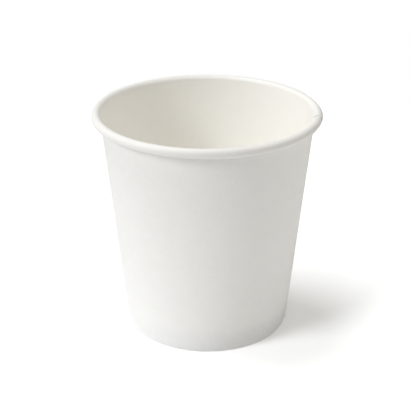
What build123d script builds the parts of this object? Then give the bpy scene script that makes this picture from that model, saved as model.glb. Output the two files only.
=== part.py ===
from build123d import *
from math import acos, atan2, cos, degrees, hypot, radians, sin
import os

# A small single-wall paper coffee cup. Millimetres, +Z up, origin on the table under the cup's axis.
# The cup is two pieces of coated board: a fan-shaped blank wrapped into the side wall, with a rolled
# rim and a hem folded in under the foot, and a round bottom with a turned-down skirt that the hem holds.

# Driving dimensions
RIM_DIAMETER = 62.0        # over the rolled rim
FOOT_DIAMETER = 45.0       # over the outside of the wall, at the table
CUP_HEIGHT = 62.0
BOARD = 0.28               # thickness of the board, coating included

# Rolled rim
ROLL_RADIUS = 1.3          # outside of the roll
TUCK_RADIUS = 0.65         # tighter turn of the roll's last part, which tucks in against the wall
TUCK_TURN = 90.0           # degrees that the tucked-in part turns

# Fold and hem under the foot
FOLD_RADIUS = 0.05         # inside of each corner of the fold
HEM_LENGTH = 4.6           # straight part of the hem, up from the fold

# Bottom
RECESS = 6.0               # table to the underside of the bottom
SKIRT_BEND = 0.8           # outside of the bend between the bottom and its skirt
SKIRT_CLEARANCE = 0.4      # skirt's cut edge to the inside of the fold

# Lap seam of the wrapped wall, azimuths counted from +X towards +Y
SEAM_INNER_EDGE = -10.0    # cut edge that shows inside the cup
SEAM_OUTER_EDGE = 2.6      # cut edge that shows outside
SEAM_RAMP = 3.0            # degrees over which the outer lap climbs onto the inner one

# The wall's slope: the coated face is tangent to the roll, and the outside passes through the foot.
ROLL_CENTRE = (RIM_DIAMETER / 2 - ROLL_RADIUS, CUP_HEIGHT - ROLL_RADIUS)
TUCK_CENTRE = (ROLL_CENTRE[0], ROLL_CENTRE[1] - ROLL_RADIUS + TUCK_RADIUS)
OVERHANG = ROLL_CENTRE[0] - FOOT_DIAMETER / 2
SLOPE = degrees(
    acos((ROLL_RADIUS - BOARD) / hypot(OVERHANG, ROLL_CENTRE[1]))
    - atan2(ROLL_CENTRE[1], OVERHANG)
)
UP_THE_WALL = (sin(radians(SLOPE)), cos(radians(SLOPE)))


def wall_radius(height, offset):
    """Radius, at a height, of the cone that lies `offset` outside the wall's coated face."""
    drop = (height - ROLL_CENTRE[1]) * sin(radians(SLOPE))
    return ROLL_CENTRE[0] + (drop - ROLL_RADIUS + offset) / cos(radians(SLOPE))


def along_wall(point, distance):
    """The point moved `distance` up the wall's slope."""
    return (point[0] + distance * UP_THE_WALL[0], point[1] + distance * UP_THE_WALL[1])


def board_line(offset):
    """The side wall's line in the radius-height plane, `offset` away from its coated face.

    It starts at the hem's cut edge, goes down the hem, round the fold, up the wall, over the roll
    and into the tucked-in part.
    """
    fold_height = BOARD + FOLD_RADIUS
    hem_corner = (wall_radius(fold_height, FOLD_RADIUS - BOARD), fold_height)
    foot_corner = (wall_radius(fold_height, -FOLD_RADIUS), fold_height)
    fold = FOLD_RADIUS + offset
    hem_turn = CenterArc(hem_corner, fold, 180 - SLOPE, 90 + SLOPE)
    foot_turn = CenterArc(foot_corner, fold, -90, 90 - SLOPE)
    roll = CenterArc(ROLL_CENTRE, ROLL_RADIUS - offset, 180 - SLOPE, SLOPE - 270)
    tuck = CenterArc(TUCK_CENTRE, TUCK_RADIUS - offset, -90, -TUCK_TURN)
    hem = Line(along_wall(tuple(hem_turn @ 0)[:2], HEM_LENGTH), hem_turn @ 0)
    under = Line(hem_turn @ 1, foot_turn @ 0)
    wall = Line(foot_turn @ 1, roll @ 0)
    return Wire([hem, hem_turn, under, foot_turn, wall, roll, tuck])


def board_section(near, far, azimuth):
    """Section of the board between two offsets from its coated face, turned to an azimuth."""
    near_line = board_line(near)
    far_line = board_line(far)
    hem_edge = Line(near_line @ 0, far_line @ 0)
    tuck_edge = Line(near_line @ 1, far_line @ 1)
    outline = Wire([*near_line.edges(), tuck_edge, *far_line.edges(), hem_edge])
    section = Plane.XZ * Face(outline)
    return section.rotate(Axis.Z, azimuth)


def side_wall():
    """The wrapped wall: one layer round the cup, two at the lap seam, and a ramp between them."""
    lap = SEAM_OUTER_EDGE - SEAM_INNER_EDGE
    ramp_start = SEAM_INNER_EDGE - SEAM_RAMP
    single = revolve(board_section(0, BOARD, SEAM_OUTER_EDGE), Axis.Z, 360 - lap - SEAM_RAMP)
    double = revolve(board_section(0, 2 * BOARD, SEAM_INNER_EDGE), Axis.Z, lap)
    ramp_ends = [
        board_section(0, BOARD, ramp_start),
        board_section(BOARD, 2 * BOARD, SEAM_INNER_EDGE),
    ]
    ramp = loft(ramp_ends, ruled=True)
    below_table = Pos(0, 0, -BOARD) * Box(FOOT_DIAMETER * 2, FOOT_DIAMETER * 2, BOARD * 2)
    return single + double + ramp - below_table


def bottom_disc():
    """The round bottom and its skirt, which lies between the wall and the hem."""
    bend_height = RECESS + BOARD - SKIRT_BEND
    bend_centre = (wall_radius(bend_height, -SKIRT_BEND), bend_height)
    edge_height = BOARD + SKIRT_CLEARANCE
    outer_bend = CenterArc(bend_centre, SKIRT_BEND, -SLOPE, 90 + SLOPE)
    inner_bend = CenterArc(bend_centre, SKIRT_BEND - BOARD, -SLOPE, 90 + SLOPE)
    outer_edge = (wall_radius(edge_height, 0), edge_height)
    inner_edge = (wall_radius(edge_height, -BOARD), edge_height)
    top_centre = (0, RECESS + BOARD)
    under_centre = (0, RECESS)
    outline = Wire([
        outer_bend,
        inner_bend,
        Line(top_centre, outer_bend @ 1),
        Line(outer_bend @ 0, outer_edge),
        Line(outer_edge, inner_edge),
        Line(inner_edge, inner_bend @ 0),
        Line(inner_bend @ 1, under_centre),
        Line(under_centre, top_centre),
    ])
    return revolve(Plane.XZ * Face(outline), Axis.Z, 360)


PIECES = {
    "side_wall": side_wall,
    "bottom_disc": bottom_disc,
}

os.makedirs("parts", exist_ok=True)
for name, make in PIECES.items():
    piece = make()
    piece.label = name
    export_step(piece, f"parts/{name}.step")
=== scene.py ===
from math import acos, atan2, cos, hypot, pi, radians, sin

import bpy
import numpy as np
from bpy.props import FloatProperty, FloatVectorProperty, IntProperty, PointerProperty
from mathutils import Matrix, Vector


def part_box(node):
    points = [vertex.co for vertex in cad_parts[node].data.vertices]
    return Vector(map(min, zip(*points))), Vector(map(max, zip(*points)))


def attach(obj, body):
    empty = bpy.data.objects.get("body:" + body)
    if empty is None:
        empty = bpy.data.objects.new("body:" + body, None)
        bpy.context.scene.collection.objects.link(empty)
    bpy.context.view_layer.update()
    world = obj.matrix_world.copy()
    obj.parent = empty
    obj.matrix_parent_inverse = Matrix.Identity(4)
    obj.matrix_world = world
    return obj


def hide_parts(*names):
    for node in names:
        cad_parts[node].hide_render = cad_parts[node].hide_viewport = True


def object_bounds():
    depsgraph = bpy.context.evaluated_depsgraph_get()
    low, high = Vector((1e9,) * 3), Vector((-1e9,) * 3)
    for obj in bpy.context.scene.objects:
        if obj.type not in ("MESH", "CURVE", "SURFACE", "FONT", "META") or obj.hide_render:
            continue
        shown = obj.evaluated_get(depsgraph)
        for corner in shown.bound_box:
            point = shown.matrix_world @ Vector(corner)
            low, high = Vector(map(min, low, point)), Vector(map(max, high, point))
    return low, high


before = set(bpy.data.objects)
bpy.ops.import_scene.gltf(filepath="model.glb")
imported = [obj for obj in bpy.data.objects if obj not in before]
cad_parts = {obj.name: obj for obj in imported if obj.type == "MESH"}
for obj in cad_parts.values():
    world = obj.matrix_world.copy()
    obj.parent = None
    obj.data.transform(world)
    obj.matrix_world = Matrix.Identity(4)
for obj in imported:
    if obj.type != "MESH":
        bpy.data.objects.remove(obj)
CAD_LOW, CAD_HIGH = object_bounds()
DISC_LOW, DISC_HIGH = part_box("bottom_disc")

bl_info = {
    "name": "Paper coffee cup",
    "version": (1, 0, 0),
    "blender": (4, 5, 0),
    "location": "View3D > Sidebar > Cup",
    "description": "Makes the wrapped wall, the bottom and the studio of a small paper cup",
    "category": "Object",
}

# Steps along each part of the wall's board, and round the cup, over the lap and over its ramp
HEM_STEPS = 10
FOLD_STEPS = 5
WALL_STEPS = 32
ROLL_STEPS = 30
TUCK_STEPS = 8
AZIMUTH_STEP = radians(0.75)
LAP_STEPS = 17
RAMP_STEPS = 8

# Steps across the bottom and down its skirt
BOTTOM_STEPS = 24
BEND_STEPS = 8
SKIRT_STEPS = 8
BOTTOM_COLUMNS = 240

# Edges of a mesh that are turned more than this stay sharp
SHARP_EDGE = radians(40)

# The roll is even this near to the seam and fully uneven past the second angle. Its waves are
# (periods round the rim, phase).
EVEN_WITHIN = radians(4)
UNEVEN_PAST = radians(14)
ROLL_WAVES = ((3, 0.7), (7, 2.1))

# Up to the first height the laps are pressed level with the table, so the board rises there by the
# lap, and from the second they are free. Past the seam's outer edge the rise fades over the angle.
PRESSED_BELOW = 0.001
FREE_ABOVE = 0.004
RISE_FADE = radians(4)

# The knurls fade out between these distances from the middle of the hem, as shares of its length
KNURL_FULL = 0.3
KNURL_END = 0.5

# Material numbers on the pieces
OUTSIDE, INSIDE, CUT_EDGE = range(3)

# Board: its coating's index of refraction, the share of light that goes through it, how far that
# light spreads in metres, and how much of that for red, green and blue
COATING_IOR = 1.5
SEE_THROUGH = 0.5
SEE_THROUGH_DEPTH = 0.0003
SEE_THROUGH_TINT = (1.0, 0.96, 0.88)

# Pulp: width of its clouds and of its fibres in metres, the fibres' width over their length, and
# how much of the board's tone is fibres rather than clouds
CLOUD_SIZE = 0.0035
FIBRE_SIZE = 0.00022
FIBRE_SLENDERNESS = 0.35
FIBRE_TONE = 0.7

# Most of a noise texture's values lie between these
NOISE_LOW = 0.3
NOISE_HIGH = 0.7

# Camera's sensor in millimetres, and the nearest and farthest that it sees in metres
SENSOR_WIDTH = 36.0
NEAREST = 0.01
FARTHEST = 20.0

FLOOR_SIDES = 96

WHITE = (1.0, 1.0, 1.0)
WARM = (1.0, 0.97, 0.90)
COOL = (0.98, 0.99, 1.0)

# name, azimuth (0 in front, 90 at the right), elevation, softness, in degrees, strength and colour
LIGHTS = [
    ("low_key_from_left", -60, 36, 24, 1.27, COOL),
    ("high_key_from_behind", -120, 70, 30, 1.21, COOL),
    ("low_fill_from_right", 90, 12, 45, 0.36, WARM),
    ("low_fill_from_left", -75, 5, 30, 0.17, COOL),
]


# Sizes and colours


class CupSizes(bpy.types.PropertyGroup):
    """Sizes of the cup, in metres and radians; those that the frame gives come from it."""

    rim_radius: FloatProperty(
        name="Rim radius", description="Outside of the rolled rim",
        default=(CAD_HIGH.x - CAD_LOW.x) / 2, unit="LENGTH")
    height: FloatProperty(
        name="Height", description="Table to the top of the rim",
        default=CAD_HIGH.z, unit="LENGTH")
    foot_radius: FloatProperty(
        name="Foot radius", description="Outside of the wall, at the table",
        default=0.0225, unit="LENGTH")
    board: FloatProperty(
        name="Board", description="Thickness of the board",
        default=0.00028, unit="LENGTH")
    roll_radius: FloatProperty(
        name="Roll radius", description="Outside of the rim's roll",
        default=0.0013, unit="LENGTH")
    roll_unevenness: FloatProperty(
        name="Roll unevenness", description="How much the roll's radius changes round the rim",
        default=0.00003, unit="LENGTH")
    tuck_radius: FloatProperty(
        name="Tuck radius", description="Tighter turn of the roll's last part",
        default=0.00065, unit="LENGTH")
    out_of_round: FloatProperty(
        name="Out of round", description="How much less the rim's radius is along Y than along X",
        default=0.00012, unit="LENGTH")
    fold_radius: FloatProperty(
        name="Fold radius", description="Inside of the fold under the foot",
        default=0.00005, unit="LENGTH")
    hem_length: FloatProperty(
        name="Hem length", description="Straight part of the hem",
        default=0.0046, unit="LENGTH")
    knurls: IntProperty(
        name="Knurls", description="Ridges that the sealing wheel leaves round the hem",
        default=96)
    knurl_depth: FloatProperty(
        name="Knurl depth", description="Depth of those ridges",
        default=0.00007, unit="LENGTH")
    seam_inner_edge: FloatProperty(
        name="Seam inner edge", description="Azimuth of the cut edge inside the cup",
        default=radians(-10.0), subtype="ANGLE")
    seam_outer_edge: FloatProperty(
        name="Seam outer edge", description="Azimuth of the cut edge outside the cup",
        default=radians(2.6), subtype="ANGLE")
    seam_ramp: FloatProperty(
        name="Seam ramp", description="Turn over which the outer lap climbs onto the inner one",
        default=radians(3.0), subtype="ANGLE")
    skirt_bend: FloatProperty(
        name="Skirt bend", description="Outside of the bend between the bottom and its skirt",
        default=0.0008, unit="LENGTH")
    bottom_sag: FloatProperty(
        name="Bottom sag", description="How far the middle of the bottom hangs",
        default=0.00012, unit="LENGTH")


class CupColours(bpy.types.PropertyGroup):
    """Colours of the cup's board and of the floor."""

    outside: FloatVectorProperty(
        name="Outside", description="Uncoated face of the board",
        default=(0.943, 0.936, 0.922), subtype="COLOR", size=3, min=0.0, max=1.0)
    inside: FloatVectorProperty(
        name="Inside", description="Coated face of the board",
        default=(0.965, 0.951, 0.918), subtype="COLOR", size=3, min=0.0, max=1.0)
    cut_edge: FloatVectorProperty(
        name="Cut edge", description="Raw core of the board at its cut edges",
        default=(0.9, 0.88, 0.84), subtype="COLOR", size=3, min=0.0, max=1.0)
    floor: FloatVectorProperty(
        name="Floor", description="Paper sweep under the cup",
        default=(0.91, 0.92, 0.94), subtype="COLOR", size=3, min=0.0, max=1.0)


class StageSizes(bpy.types.PropertyGroup):
    """Camera, floor and light of the studio."""

    camera_distance: FloatProperty(
        name="Camera distance", description="Camera to the middle of the cup",
        default=0.31, unit="LENGTH")
    camera_elevation: FloatProperty(
        name="Camera elevation", description="Angle of the camera above the horizon",
        default=radians(24.8), subtype="ANGLE")
    aim_right: FloatProperty(
        name="Aim right", description="How far to the right of the cup's middle the camera aims",
        default=-0.0005, unit="LENGTH")
    aim_up: FloatProperty(
        name="Aim up", description="How far above the cup's middle the camera aims",
        default=0.00243, unit="LENGTH")
    lens: FloatProperty(
        name="Lens", description="Focal length on a 36 mm sensor, in millimetres",
        default=97.6)
    floor_radius: FloatProperty(
        name="Floor radius", description="Size of the paper sweep under the cup",
        default=0.2, unit="LENGTH")
    bounces: IntProperty(
        name="Bounces", description="How often light is followed between white surfaces",
        default=12)
    floor_gain: FloatProperty(
        name="Floor gain", description="How many times brighter the camera sees the floor",
        default=1.55)
    sky: FloatProperty(
        name="Sky", description="Brightness of the studio around the cup", default=0.345)


# Sections
# A point of a section is one complex number, its radius plus its height times i. A direction is a
# complex number of length one.


def turned(angle):
    """Direction at an angle above the radius: exp(i * angle)."""
    return np.exp(1j * angle)


def wall_slope(sizes):
    """Angle between the wall and the cup's axis.

    The wall's coated face is a tangent of the roll and its outer face passes through the foot. So,
    seen from the foot, the roll's centre lies one roll radius less one board beside the wall's line.
    """
    run = sizes.rim_radius - sizes.roll_radius - sizes.foot_radius
    rise = sizes.height - sizes.roll_radius
    return acos((sizes.roll_radius - sizes.board) / hypot(run, rise)) - atan2(rise, run)


def cone_point(sizes, height, offset):
    """Point at a height on the cone that lies `offset` outside the wall's coated face."""
    slope = wall_slope(sizes)
    above_roll = height - (sizes.height - sizes.roll_radius)
    roll_centre = sizes.rim_radius - sizes.roll_radius
    radius = roll_centre + (above_roll * sin(slope) - sizes.roll_radius + offset) / cos(slope)
    return radius + 1j * height


def straight(start, end, into_board, steps):
    """Even steps from start to end, start left out, and the one direction into the board."""
    share = np.linspace(0, 1, steps + 1)[1:, None]
    points = start + (end - start) * share
    return points, into_board + 0 * points


def bend(centre, radius, first, last, side, steps):
    """Even steps round a centre from one angle to another, the first left out.

    The board lies outside the points where side is 1, and inside them where it is -1.
    """
    direction = turned(np.linspace(first, last, steps + 1)[1:, None])
    points = centre + radius * direction
    return points, side * direction + 0 * points


def joined(start, into_board, parts, columns):
    """One line from its start and its parts: points and directions into the board, a row for each
    place along the line and a column for each azimuth."""
    rows = [(np.array([[start]]), np.array([[into_board]])), *parts]
    points = [np.broadcast_to(point, (len(point), columns)) for point, _ in rows]
    directions = [np.broadcast_to(way, (len(way), columns)) for _, way in rows]
    return np.concatenate(points), np.concatenate(directions)


def wall_line(sizes, roll_radius):
    """Coated face of the wall's board, from the hem's cut edge round the fold, up and over the roll.

    Its parts are straight lines and arcs that are tangent to each other. The roll's radius has one
    value for each azimuth, and the roll stays on the wall's line.
    """
    slope = wall_slope(sizes)
    outward = turned(-slope)
    upward = 1j * outward
    fold = sizes.fold_radius
    fold_height = sizes.board + fold
    hem_corner = cone_point(sizes, fold_height, fold - sizes.board)
    foot_corner = cone_point(sizes, fold_height, -fold)
    even_centre = sizes.rim_radius - sizes.roll_radius + 1j * (sizes.height - sizes.roll_radius)
    roll_centre = even_centre + (roll_radius - sizes.roll_radius) * outward
    tuck_centre = roll_centre - 1j * (roll_radius - sizes.tuck_radius)
    hem_foot = hem_corner - fold * outward
    hem_head = hem_foot + sizes.hem_length * upward
    wall_foot = foot_corner + fold * outward
    wall_head = roll_centre - roll_radius * outward
    parts = [
        straight(hem_head, hem_foot, -outward, HEM_STEPS),
        bend(hem_corner, fold, pi - slope, pi * 3 / 2, 1, FOLD_STEPS),
        straight(hem_corner - 1j * fold, foot_corner - 1j * fold, -1j, 1),
        bend(foot_corner, fold, -pi / 2, -slope, 1, FOLD_STEPS),
        straight(wall_foot, wall_head, outward, WALL_STEPS),
        bend(roll_centre, roll_radius, pi - slope, -pi / 2, -1, ROLL_STEPS),
        bend(tuck_centre, sizes.tuck_radius, -pi / 2, -pi, -1, TUCK_STEPS),
    ]
    return joined(hem_head, -outward, parts, len(roll_radius))


def bottom_line(sizes):
    """Coated face of the bottom: from its centre out, over the bend and down the skirt."""
    slope = wall_slope(sizes)
    outward = turned(-slope)
    top = DISC_HIGH.z
    bend_centre = cone_point(sizes, top - sizes.skirt_bend, -sizes.skirt_bend)
    bend_top = bend_centre + 1j * sizes.skirt_bend
    skirt_head = bend_centre + sizes.skirt_bend * outward
    skirt_foot = cone_point(sizes, DISC_LOW.z, 0)
    parts = [
        straight(1j * top, bend_top, -1j, BOTTOM_STEPS),
        bend(bend_centre, sizes.skirt_bend, pi / 2, -slope, -1, BEND_STEPS),
        straight(skirt_head, skirt_foot, -outward, SKIRT_STEPS),
    ]
    return joined(1j * top, -1j, parts, BOTTOM_COLUMNS)


# Surfaces


def smooth_step(value, low, high):
    """0 below low and 1 above high, joined by the S-curve 3 s^2 - 2 s^3 of the share s between."""
    share = np.clip((value - low) / (high - low), 0, 1)
    return share * share * (3 - 2 * share)


def round_the_axis(section, azimuth):
    """Section points turned to their azimuths, as x, y and z."""
    radius = section.real
    return np.stack([radius * np.cos(azimuth), radius * np.sin(azimuth), section.imag], axis=-1)


def wall_azimuths(sizes):
    """Azimuths from the board's inner cut edge, once round the cup and over the lap to its outer one."""
    full_turn = 2 * pi
    ramp_start = sizes.seam_inner_edge + full_turn - sizes.seam_ramp
    single_steps = round((ramp_start - sizes.seam_outer_edge) / AZIMUTH_STEP)
    spans = [
        (sizes.seam_inner_edge, sizes.seam_outer_edge, LAP_STEPS),
        (sizes.seam_outer_edge, ramp_start, single_steps),
        (ramp_start, sizes.seam_inner_edge + full_turn, RAMP_STEPS),
    ]
    turns = [np.linspace(start, end, steps, endpoint=False) for start, end, steps in spans]
    lap = np.linspace(sizes.seam_inner_edge, sizes.seam_outer_edge, LAP_STEPS + 1) + full_turn
    return np.concatenate([*turns, lap])


def uneven_roll(sizes, azimuth):
    """The roll's radius at each azimuth: largest over the lap, where the board is double, and less
    by one to two times the unevenness elsewhere, in slow waves."""
    seam = (sizes.seam_inner_edge + sizes.seam_outer_edge) / 2
    from_seam = np.abs((azimuth - seam + pi) % (2 * pi) - pi)
    away = smooth_step(from_seam, EVEN_WITHIN, UNEVEN_PAST)
    waves = [np.cos(periods * azimuth + phase) for periods, phase in ROLL_WAVES]
    swing = 1.5 + 0.5 * np.mean(waves, axis=0)
    return sizes.roll_radius - sizes.roll_unevenness * away * swing


def wall_surface(sizes):
    """The wrapped board's coated and outer faces, each a row along the board by a column round it.

    The board starts at the seam's inner edge, goes once round, climbs one board outwards over the
    ramp and lies on its own start. Under the foot the laps are pressed level with the table, so the
    section rises there by what the lap adds. The knurls thin the hem by their depth times half of
    one minus the cosine of the azimuth times their number. The cup narrows along Y by the square of
    the azimuth's sine, in proportion to the height.
    """
    azimuth = wall_azimuths(sizes)
    board = sizes.board
    lap_start = sizes.seam_inner_edge + 2 * pi
    line, into_board = wall_line(sizes, uneven_roll(sizes, azimuth))
    climb = board * smooth_step(azimuth, lap_start - sizes.seam_ramp, lap_start)
    release = smooth_step(azimuth, sizes.seam_outer_edge, sizes.seam_outer_edge + RISE_FADE)
    along_hem = np.arange(len(line))[:, None] / HEM_STEPS
    mid_hem = 1 - smooth_step(np.abs(along_hem - 0.5), KNURL_FULL, KNURL_END)
    on_hem = np.where(along_hem <= 1, mid_hem, 0)
    ridges = 0.5 - 0.5 * np.cos(sizes.knurls * azimuth)
    knurl = sizes.knurl_depth * on_hem * ridges
    faces = []
    for depth in (0 * knurl, board - knurl):
        face = line + (climb + depth) * into_board
        pressed = 1 - smooth_step(face.imag, PRESSED_BELOW, FREE_ABOVE)
        face = face + 1j * pressed * (climb + board * (1 - release))
        narrowing = sizes.out_of_round * np.sin(azimuth) ** 2 * face.imag / sizes.height
        faces.append(round_the_axis(face - narrowing, azimuth))
    return faces


def bottom_surface(sizes):
    """The bottom's coated face and underside, each a row along its section by a column round it.

    The middle hangs by the sag times (1 - share^2)^2, where share is the radius over the disc's.
    """
    line, into_board = bottom_line(sizes)
    azimuth = np.linspace(0, 2 * pi, BOTTOM_COLUMNS, endpoint=False)
    share = np.clip(line.real / (DISC_HIGH.x - sizes.skirt_bend), 0, 1)
    line = line - 1j * sizes.bottom_sag * (1 - share ** 2) ** 2
    under = line + sizes.board * into_board
    return [round_the_axis(line, azimuth), round_the_axis(under, azimuth)]


# Meshes


def grid_quads(number):
    """Quads between the neighbours in an array of vertex numbers."""
    corners = [number[:-1, :-1], number[:-1, 1:], number[1:, 1:], number[1:, :-1]]
    return np.stack(corners, axis=-1).reshape(-1, 4)


def mesh_piece(name, points, groups, materials):
    """One object from an array of points and a list of (faces, material number)."""
    mesh = bpy.data.meshes.new(name)
    faces = [face for part, _ in groups for face in part.tolist()]
    kinds = np.concatenate([np.full(len(part), kind, dtype=np.int32) for part, kind in groups])
    mesh.from_pydata(points.reshape(-1, 3), [], faces)
    mesh.polygons.foreach_set("material_index", kinds)
    mesh.polygons.foreach_set("use_smooth", np.ones(len(faces), dtype=bool))
    mesh.set_sharp_from_angle(angle=SHARP_EDGE)
    for material in materials:
        mesh.materials.append(material)
    mesh.update()
    piece = bpy.data.objects.new(name, mesh)
    bpy.context.scene.collection.objects.link(piece)
    return piece


def make_wall(sizes, materials):
    """The wrapped wall as one closed strip: two faces, two long cut edges and the seam's two."""
    faces = np.stack(wall_surface(sizes))
    number = np.arange(faces[..., 0].size).reshape(faces.shape[:3])
    coated, outer = number
    groups = [
        (grid_quads(coated)[:, ::-1], INSIDE),
        (grid_quads(outer), OUTSIDE),
        (grid_quads(number[:, 0, :]), CUT_EDGE),
        (grid_quads(number[:, -1, :])[:, ::-1], CUT_EDGE),
        (grid_quads(number[:, :, 0])[:, ::-1], CUT_EDGE),
        (grid_quads(number[:, :, -1]), CUT_EDGE),
    ]
    return mesh_piece("wrapped_wall", faces, groups, materials)


def make_bottom(sizes, materials):
    """The bottom as one closed shell: two faces with a fan at each centre, and the skirt's edge.

    Each face's first row is its centre, so that row is one vertex. The first column comes once more
    after the last one, which closes the ring.
    """
    faces = np.stack(bottom_surface(sizes))
    corner = np.arange(faces[..., 0].size).reshape(faces.shape[:3])
    corner[:, 0] = corner[:, 0, :1]
    used, number = np.unique(corner, return_inverse=True)
    number = number.reshape(corner.shape)
    number = np.concatenate([number, number[:, :, :1]], axis=2)
    fans = [np.stack([side[0, :-1], side[1, 1:], side[1, :-1]], axis=-1) for side in number]
    groups = [
        (fans[0][:, ::-1], INSIDE),
        (fans[1], OUTSIDE),
        (grid_quads(number[0, 1:])[:, ::-1], INSIDE),
        (grid_quads(number[1, 1:]), OUTSIDE),
        (grid_quads(number[:, -1, :])[:, ::-1], CUT_EDGE),
    ]
    return mesh_piece("bottom", faces.reshape(-1, 3)[used], groups, materials)


# Materials


def new_group(name, inputs, outputs):
    """An empty shader node group: inputs are (name, kind, default), outputs are (name, kind)."""
    group = bpy.data.node_groups.new(name, "ShaderNodeTree")
    for title, kind, default in inputs:
        socket = group.interface.new_socket(name=title, in_out="INPUT", socket_type=kind)
        if default is not None:
            socket.default_value = default
    for title, kind in outputs:
        group.interface.new_socket(name=title, in_out="OUTPUT", socket_type=kind)
    return group


def noise(nodes, links, vector, size, detail, roughness=0.5):
    """A noise texture whose features are about `size` metres across, spread over 0 to 1."""
    node = nodes.new("ShaderNodeTexNoise")
    node.inputs["Scale"].default_value = 1 / size
    node.inputs["Detail"].default_value = detail
    node.inputs["Roughness"].default_value = roughness
    links.new(vector, node.inputs["Vector"])
    spread = nodes.new("ShaderNodeMapRange")
    spread.inputs["From Min"].default_value = NOISE_LOW
    spread.inputs["From Max"].default_value = NOISE_HIGH
    links.new(node.outputs["Fac"], spread.inputs["Value"])
    return spread.outputs["Result"]


def mixed(nodes, links, first, second):
    """A Mix node of two number sockets; its Factor is the share of the second."""
    node = nodes.new("ShaderNodeMix")
    node.data_type = "FLOAT"
    links.new(first, node.inputs["A"])
    links.new(second, node.inputs["B"])
    return node


def board_fibre_group():
    """Board fibres: soft clouds where the pulp lies thicker, and short fibres lying up the wall.

    Tone and Height both swing round one half. Fibres sets how much of the height is fibres rather
    than clouds.
    """
    group = new_group(
        "Board fibres",
        [("Fibres", "NodeSocketFloat", 0.6)],
        [("Tone", "NodeSocketFloat"), ("Height", "NodeSocketFloat")],
    )
    nodes, links = group.nodes, group.links
    entry = nodes.new("NodeGroupInput")
    result = nodes.new("NodeGroupOutput")
    place = nodes.new("ShaderNodeTexCoord")
    stretch = nodes.new("ShaderNodeMapping")
    stretch.inputs["Scale"].default_value = (1.0, 1.0, FIBRE_SLENDERNESS)
    links.new(place.outputs["Object"], stretch.inputs["Vector"])
    cloud = noise(nodes, links, place.outputs["Object"], CLOUD_SIZE, detail=3.0)
    fibre = noise(nodes, links, stretch.outputs["Vector"], FIBRE_SIZE, detail=2.0, roughness=0.65)
    tone = mixed(nodes, links, cloud, fibre)
    tone.inputs["Factor"].default_value = FIBRE_TONE
    links.new(tone.outputs["Result"], result.inputs["Tone"])
    height = mixed(nodes, links, cloud, fibre)
    links.new(entry.outputs["Fibres"], height.inputs["Factor"])
    links.new(height.outputs["Result"], result.inputs["Height"])
    return group


def board_material(name, colour, darkest, roughness, relief, fibres):
    """White board, which passes a share of the light, and red light the farthest.

    Its colour falls to `darkest` times itself where the pulp is thin. Its roughness goes from the
    first value there to the second where the pulp is thick. `relief` is the bump's height in metres,
    and `fibres` is how much of the bump is fibres rather than clouds.
    """
    material = bpy.data.materials.new(name)
    material.use_nodes = True
    nodes, links = material.node_tree.nodes, material.node_tree.links
    shader = nodes["Principled BSDF"]
    shader.inputs["IOR"].default_value = COATING_IOR
    shader.inputs["Subsurface Weight"].default_value = SEE_THROUGH
    shader.inputs["Subsurface Scale"].default_value = SEE_THROUGH_DEPTH
    shader.inputs["Subsurface Radius"].default_value = SEE_THROUGH_TINT
    pulp = nodes.new("ShaderNodeGroup")
    pulp.node_tree = bpy.data.node_groups.get("Board fibres") or board_fibre_group()
    pulp.inputs["Fibres"].default_value = fibres
    tint = nodes.new("ShaderNodeMix")
    tint.data_type = "RGBA"
    tint.inputs["A"].default_value = (*[channel * darkest for channel in colour], 1.0)
    tint.inputs["B"].default_value = (*colour, 1.0)
    links.new(pulp.outputs["Tone"], tint.inputs["Factor"])
    links.new(tint.outputs["Result"], shader.inputs["Base Color"])
    gloss = nodes.new("ShaderNodeMapRange")
    gloss.inputs["To Min"].default_value = roughness[0]
    gloss.inputs["To Max"].default_value = roughness[1]
    links.new(pulp.outputs["Tone"], gloss.inputs["Value"])
    links.new(gloss.outputs["Result"], shader.inputs["Roughness"])
    bump = nodes.new("ShaderNodeBump")
    bump.inputs["Distance"].default_value = relief
    links.new(pulp.outputs["Height"], bump.inputs["Height"])
    links.new(bump.outputs["Normal"], shader.inputs["Normal"])
    return material


def board_materials(colours):
    """The board's three finishes, in the order of the material numbers: matt outer face, smooth
    coated face and rough cut edge. Both pieces share them."""
    finishes = {
        "board_outside": dict(
            colour=colours.outside, darkest=0.95, roughness=(0.9, 0.7), relief=0.00004, fibres=0.6),
        "board_inside": dict(
            colour=colours.inside, darkest=0.965, roughness=(0.55, 0.4), relief=0.00002, fibres=0.4),
        "board_cut_edge": dict(
            colour=colours.cut_edge, darkest=0.88, roughness=(0.95, 0.85), relief=0.00005, fibres=0.9),
    }
    made = bpy.data.materials
    return [made.get(name) or board_material(name, **finish) for name, finish in finishes.items()]


# Studio


def way_to(azimuth, elevation):
    """Direction from the cup towards a place at an azimuth, 0 in front and 90 at the right."""
    flat = cos(elevation)
    return Vector((sin(azimuth) * flat, -cos(azimuth) * flat, sin(elevation)))


def add_sun(name, azimuth, elevation, softness, strength, colour):
    """A broad soft light from one side, as wide as `softness` says."""
    light = bpy.data.lights.new(name, "SUN")
    light.angle = softness
    light.energy = strength
    light.color = colour
    lamp = bpy.data.objects.new(name, light)
    lamp.rotation_mode = "QUATERNION"
    lamp.rotation_quaternion = way_to(azimuth, elevation).to_track_quat("Z", "Y")
    bpy.context.scene.collection.objects.link(lamp)


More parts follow.
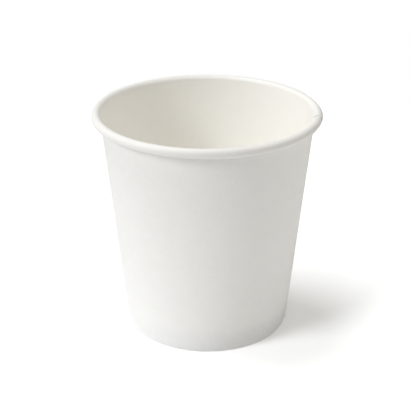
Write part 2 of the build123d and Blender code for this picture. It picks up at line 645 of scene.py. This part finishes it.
def make_world(stage):
    """White studio: the sky's brightness lights the cup, and the camera sees plain white."""
    world = bpy.data.worlds.new("studio")
    world.use_nodes = True
    nodes, links = world.node_tree.nodes, world.node_tree.links
    sky = nodes["Background"]
    sky.inputs["Strength"].default_value = stage.sky
    sky.inputs["Color"].default_value = (*WARM, 1.0)
    backdrop = nodes.new("ShaderNodeBackground")
    backdrop.inputs["Color"].default_value = (*WHITE, 1.0)
    path = nodes.new("ShaderNodeLightPath")
    either = nodes.new("ShaderNodeMixShader")
    links.new(path.outputs["Is Camera Ray"], either.inputs["Fac"])
    links.new(sky.outputs["Background"], either.inputs[1])
    links.new(backdrop.outputs["Background"], either.inputs[2])
    links.new(either.outputs["Shader"], nodes["World Output"].inputs["Surface"])
    bpy.context.scene.world = world


def make_camera(stage):
    """Camera at its elevation in front of the cup, aimed beside and above the cup's middle."""
    camera = bpy.data.objects.new("camera", bpy.data.cameras.new("camera"))
    bpy.context.scene.collection.objects.link(camera)
    bpy.context.scene.camera = camera
    camera.data.sensor_width = SENSOR_WIDTH
    camera.data.lens = stage.lens
    camera.data.clip_start = NEAREST
    camera.data.clip_end = FARTHEST
    middle = Vector((0.0, 0.0, (CAD_LOW.z + CAD_HIGH.z) / 2))
    back = way_to(0.0, stage.camera_elevation)
    right = Vector((1.0, 0.0, 0.0))
    up = back.cross(right)
    aim = middle + right * stage.aim_right + up * stage.aim_up
    camera.location = middle + back * stage.camera_distance
    camera.rotation_mode = "QUATERNION"
    camera.rotation_quaternion = (camera.location - aim).to_track_quat("Z", "Y")


def make_sweep_material(stage, colours):
    """White paper, washed out by the camera's exposure: the camera alone sees it brighter, by the
    gain, and the cup gets the plain paper's light."""
    material = bpy.data.materials.new("paper_sweep")
    material.use_nodes = True
    nodes, links = material.node_tree.nodes, material.node_tree.links
    shader = nodes["Principled BSDF"]
    shader.inputs["Roughness"].default_value = 0.9
    shader.inputs["Specular IOR Level"].default_value = 0.2
    path = nodes.new("ShaderNodeLightPath")
    paper = nodes.new("ShaderNodeMix")
    paper.data_type = "RGBA"
    washed_out = [channel * stage.floor_gain for channel in colours.floor]
    paper.inputs["A"].default_value = (*colours.floor, 1.0)
    paper.inputs["B"].default_value = (*washed_out, 1.0)
    links.new(path.outputs["Is Camera Ray"], paper.inputs["Factor"])
    links.new(paper.outputs["Result"], shader.inputs["Base Color"])
    return material


def make_floor(stage, colours):
    """Round paper sweep under the cup."""
    edge = turned(np.linspace(0, 2 * pi, FLOOR_SIDES, endpoint=False)) * stage.floor_radius
    points = np.stack([edge.real, edge.imag, 0 * edge.real], axis=-1)
    mesh = bpy.data.meshes.new("floor")
    mesh.from_pydata(points, [], [list(range(len(points)))])
    mesh.materials.append(make_sweep_material(stage, colours))
    floor = bpy.data.objects.new("floor", mesh)
    bpy.context.scene.collection.objects.link(floor)
    return floor


# Operators


class CUP_OT_side_wall(bpy.types.Operator):
    """Make the wrapped wall with its rolled rim, lap seam and folded hem"""

    bl_idname = "cup.side_wall"
    bl_label = "Side wall"

    def execute(self, context):
        scene = context.scene
        piece = make_wall(scene.cup_sizes, board_materials(scene.cup_colours))
        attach(piece, "root")
        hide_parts("side_wall")
        return {"FINISHED"}


class CUP_OT_bottom(bpy.types.Operator):
    """Make the bottom with its turned-down skirt"""

    bl_idname = "cup.bottom"
    bl_label = "Bottom"

    def execute(self, context):
        scene = context.scene
        piece = make_bottom(scene.cup_sizes, board_materials(scene.cup_colours))
        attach(piece, "root")
        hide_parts("bottom_disc")
        return {"FINISHED"}


class CUP_OT_stage(bpy.types.Operator):
    """Make the floor, the lights and the camera"""

    bl_idname = "cup.stage"
    bl_label = "Studio"

    def execute(self, context):
        scene = context.scene
        stage = scene.cup_stage
        scene.view_settings.view_transform = "Standard"
        scene.cycles.diffuse_bounces = stage.bounces
        make_floor(stage, scene.cup_colours)
        make_world(stage)
        make_camera(stage)
        for name, azimuth, elevation, softness, strength, colour in LIGHTS:
            angles = [radians(angle) for angle in (azimuth, elevation, softness)]
            add_sun(name, *angles, strength, colour)
        return {"FINISHED"}


class CUP_PT_panel(bpy.types.Panel):
    """Sidebar panel with the cup's pieces and sizes"""

    bl_idname = "CUP_PT_panel"
    bl_label = "Paper coffee cup"
    bl_space_type = "VIEW_3D"
    bl_region_type = "UI"
    bl_category = "Cup"

    def draw(self, context):
        layout = self.layout
        for operator in OPERATORS:
            layout.operator(operator.bl_idname)
        for settings in (context.scene.cup_sizes, context.scene.cup_colours, context.scene.cup_stage):
            box = layout.box()
            for name in settings.__annotations__:
                box.prop(settings, name)


OPERATORS = (CUP_OT_side_wall, CUP_OT_bottom, CUP_OT_stage)
CLASSES = (CupSizes, CupColours, StageSizes, *OPERATORS, CUP_PT_panel)


def register():
    for item in CLASSES:
        bpy.utils.register_class(item)
    bpy.types.Scene.cup_sizes = PointerProperty(type=CupSizes)
    bpy.types.Scene.cup_colours = PointerProperty(type=CupColours)
    bpy.types.Scene.cup_stage = PointerProperty(type=StageSizes)


def unregister():
    del bpy.types.Scene.cup_stage
    del bpy.types.Scene.cup_colours
    del bpy.types.Scene.cup_sizes
    for item in reversed(CLASSES):
        bpy.utils.unregister_class(item)


def main():
    register()
    bpy.ops.cup.stage()
    bpy.ops.cup.side_wall()
    bpy.ops.cup.bottom()


if __name__ == "__main__":
    main()
